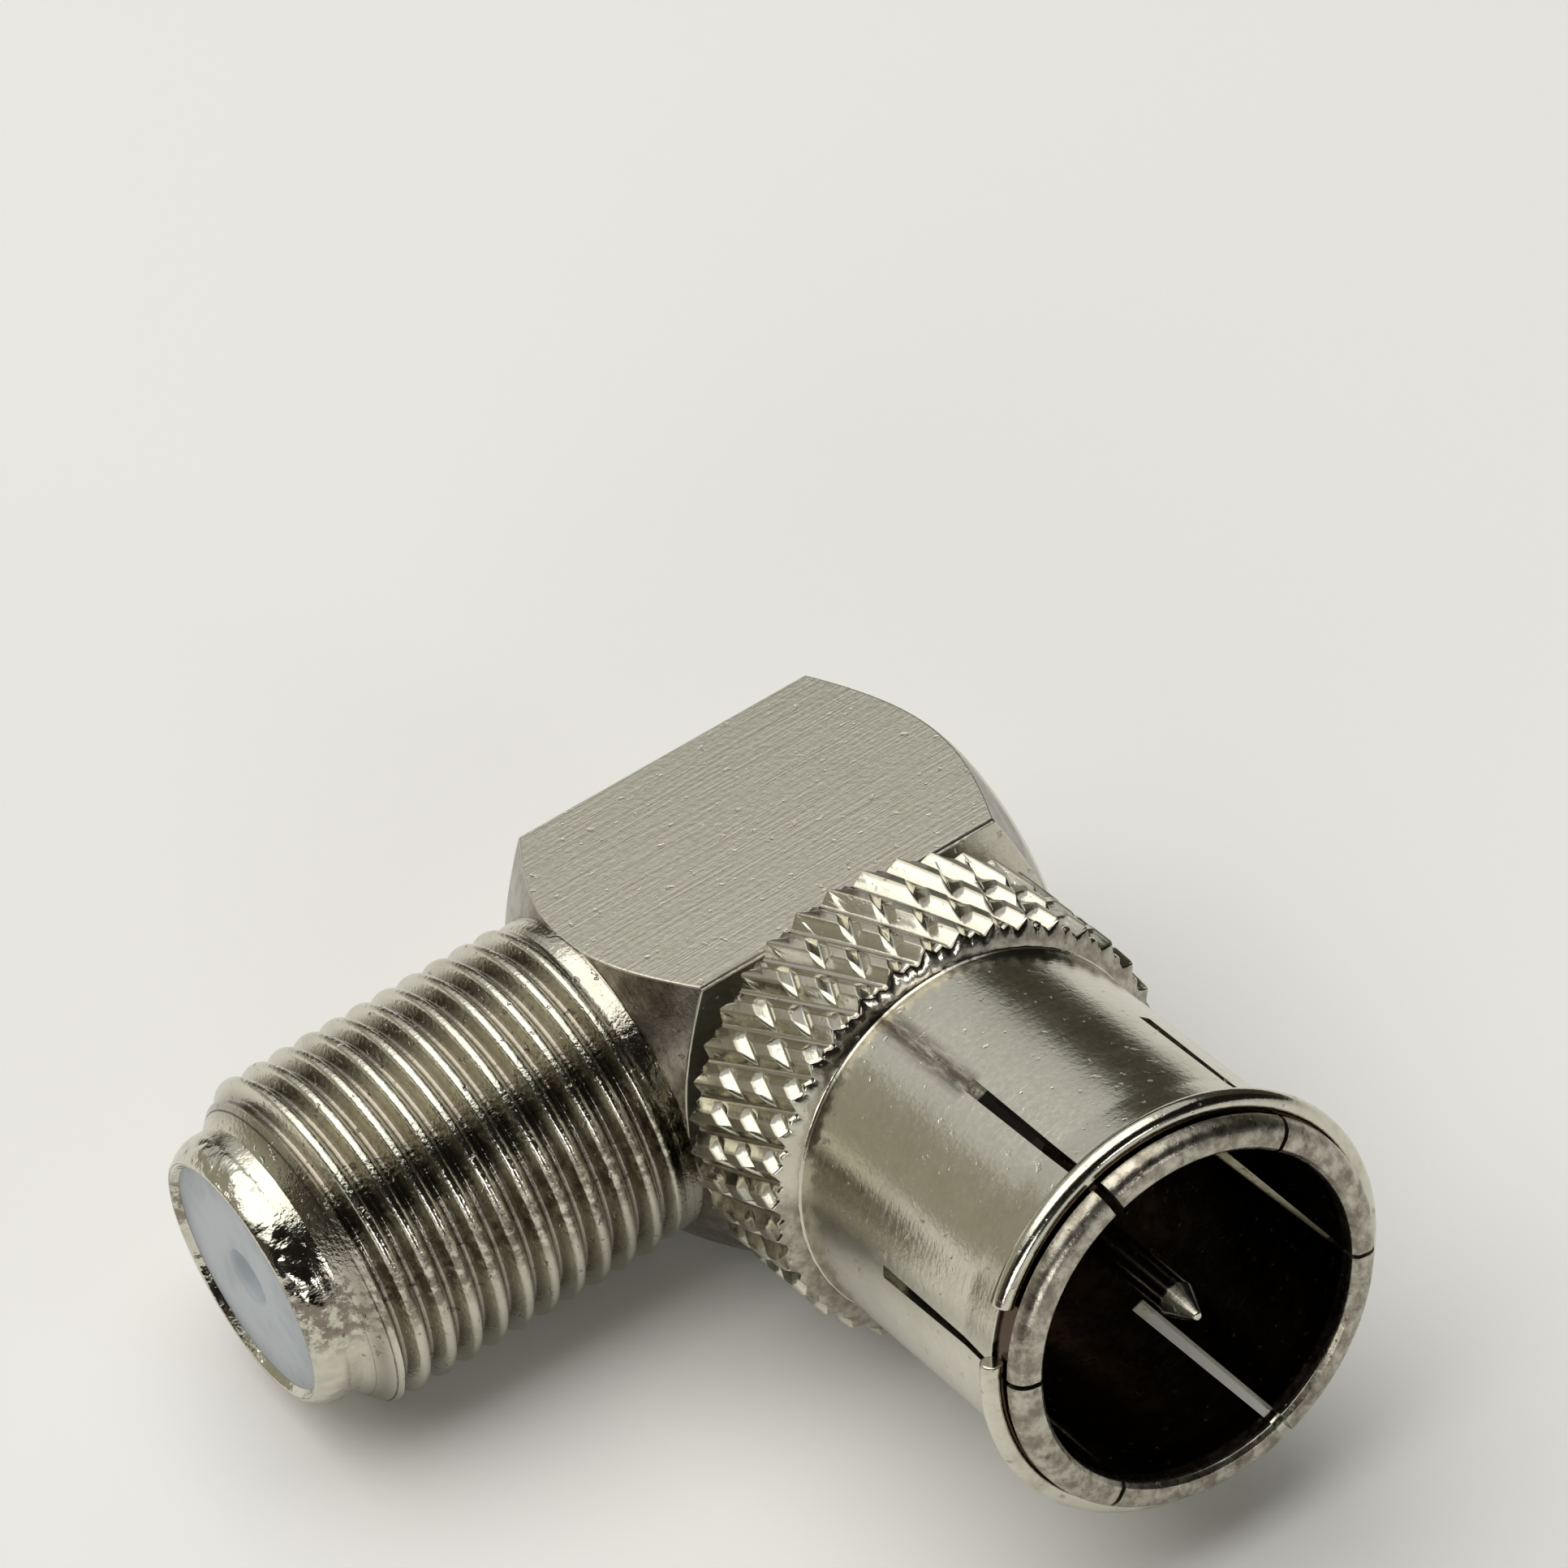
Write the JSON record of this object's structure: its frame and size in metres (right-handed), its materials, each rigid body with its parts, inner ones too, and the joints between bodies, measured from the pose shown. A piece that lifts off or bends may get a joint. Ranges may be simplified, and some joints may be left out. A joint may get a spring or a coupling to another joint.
{
  "type": "right-angle coaxial adapter",
  "caption": "Right-angle F adapter: a threaded jack on a square metal block, with a knurled collar and a slotted push-on sleeve with a spring ring and centre pin.",
  "frame": {"origin": "centre of the block's plain end face, on the jack's axis", "axes": "-Y runs from the plain end along the jack and out of its mouth, +X runs from the jack's axis along the push-on sleeve and out of its mouth, and +Z is square to the block's flat that faces up in the picture. The sleeve's axis is 6.3 mm from the origin."},
  "size_m": [0.0243, 0.023, 0.012],
  "materials": {
    "block_plate": "satin nickel plate",
    "shell_plate": "bright nickel plate",
    "contact_plate": "bright nickel plate",
    "pin_plate": "bright nickel plate",
    "ring_wire": "bright drawn wire",
    "jack_dielectric": "smooth white",
    "inner_dielectric": "smooth off-white"
  },
  "bodies": {
    "root": {"body_block": "block_plate", "jack_insulator": "jack_dielectric", "socket_contact": "contact_plate", "rear_insulator": "inner_dielectric", "push_on_shell": "shell_plate", "spring_ring": "ring_wire", "centre_pin": "pin_plate", "pin_insulator": "inner_dielectric"}
  },
  "joints": []
}
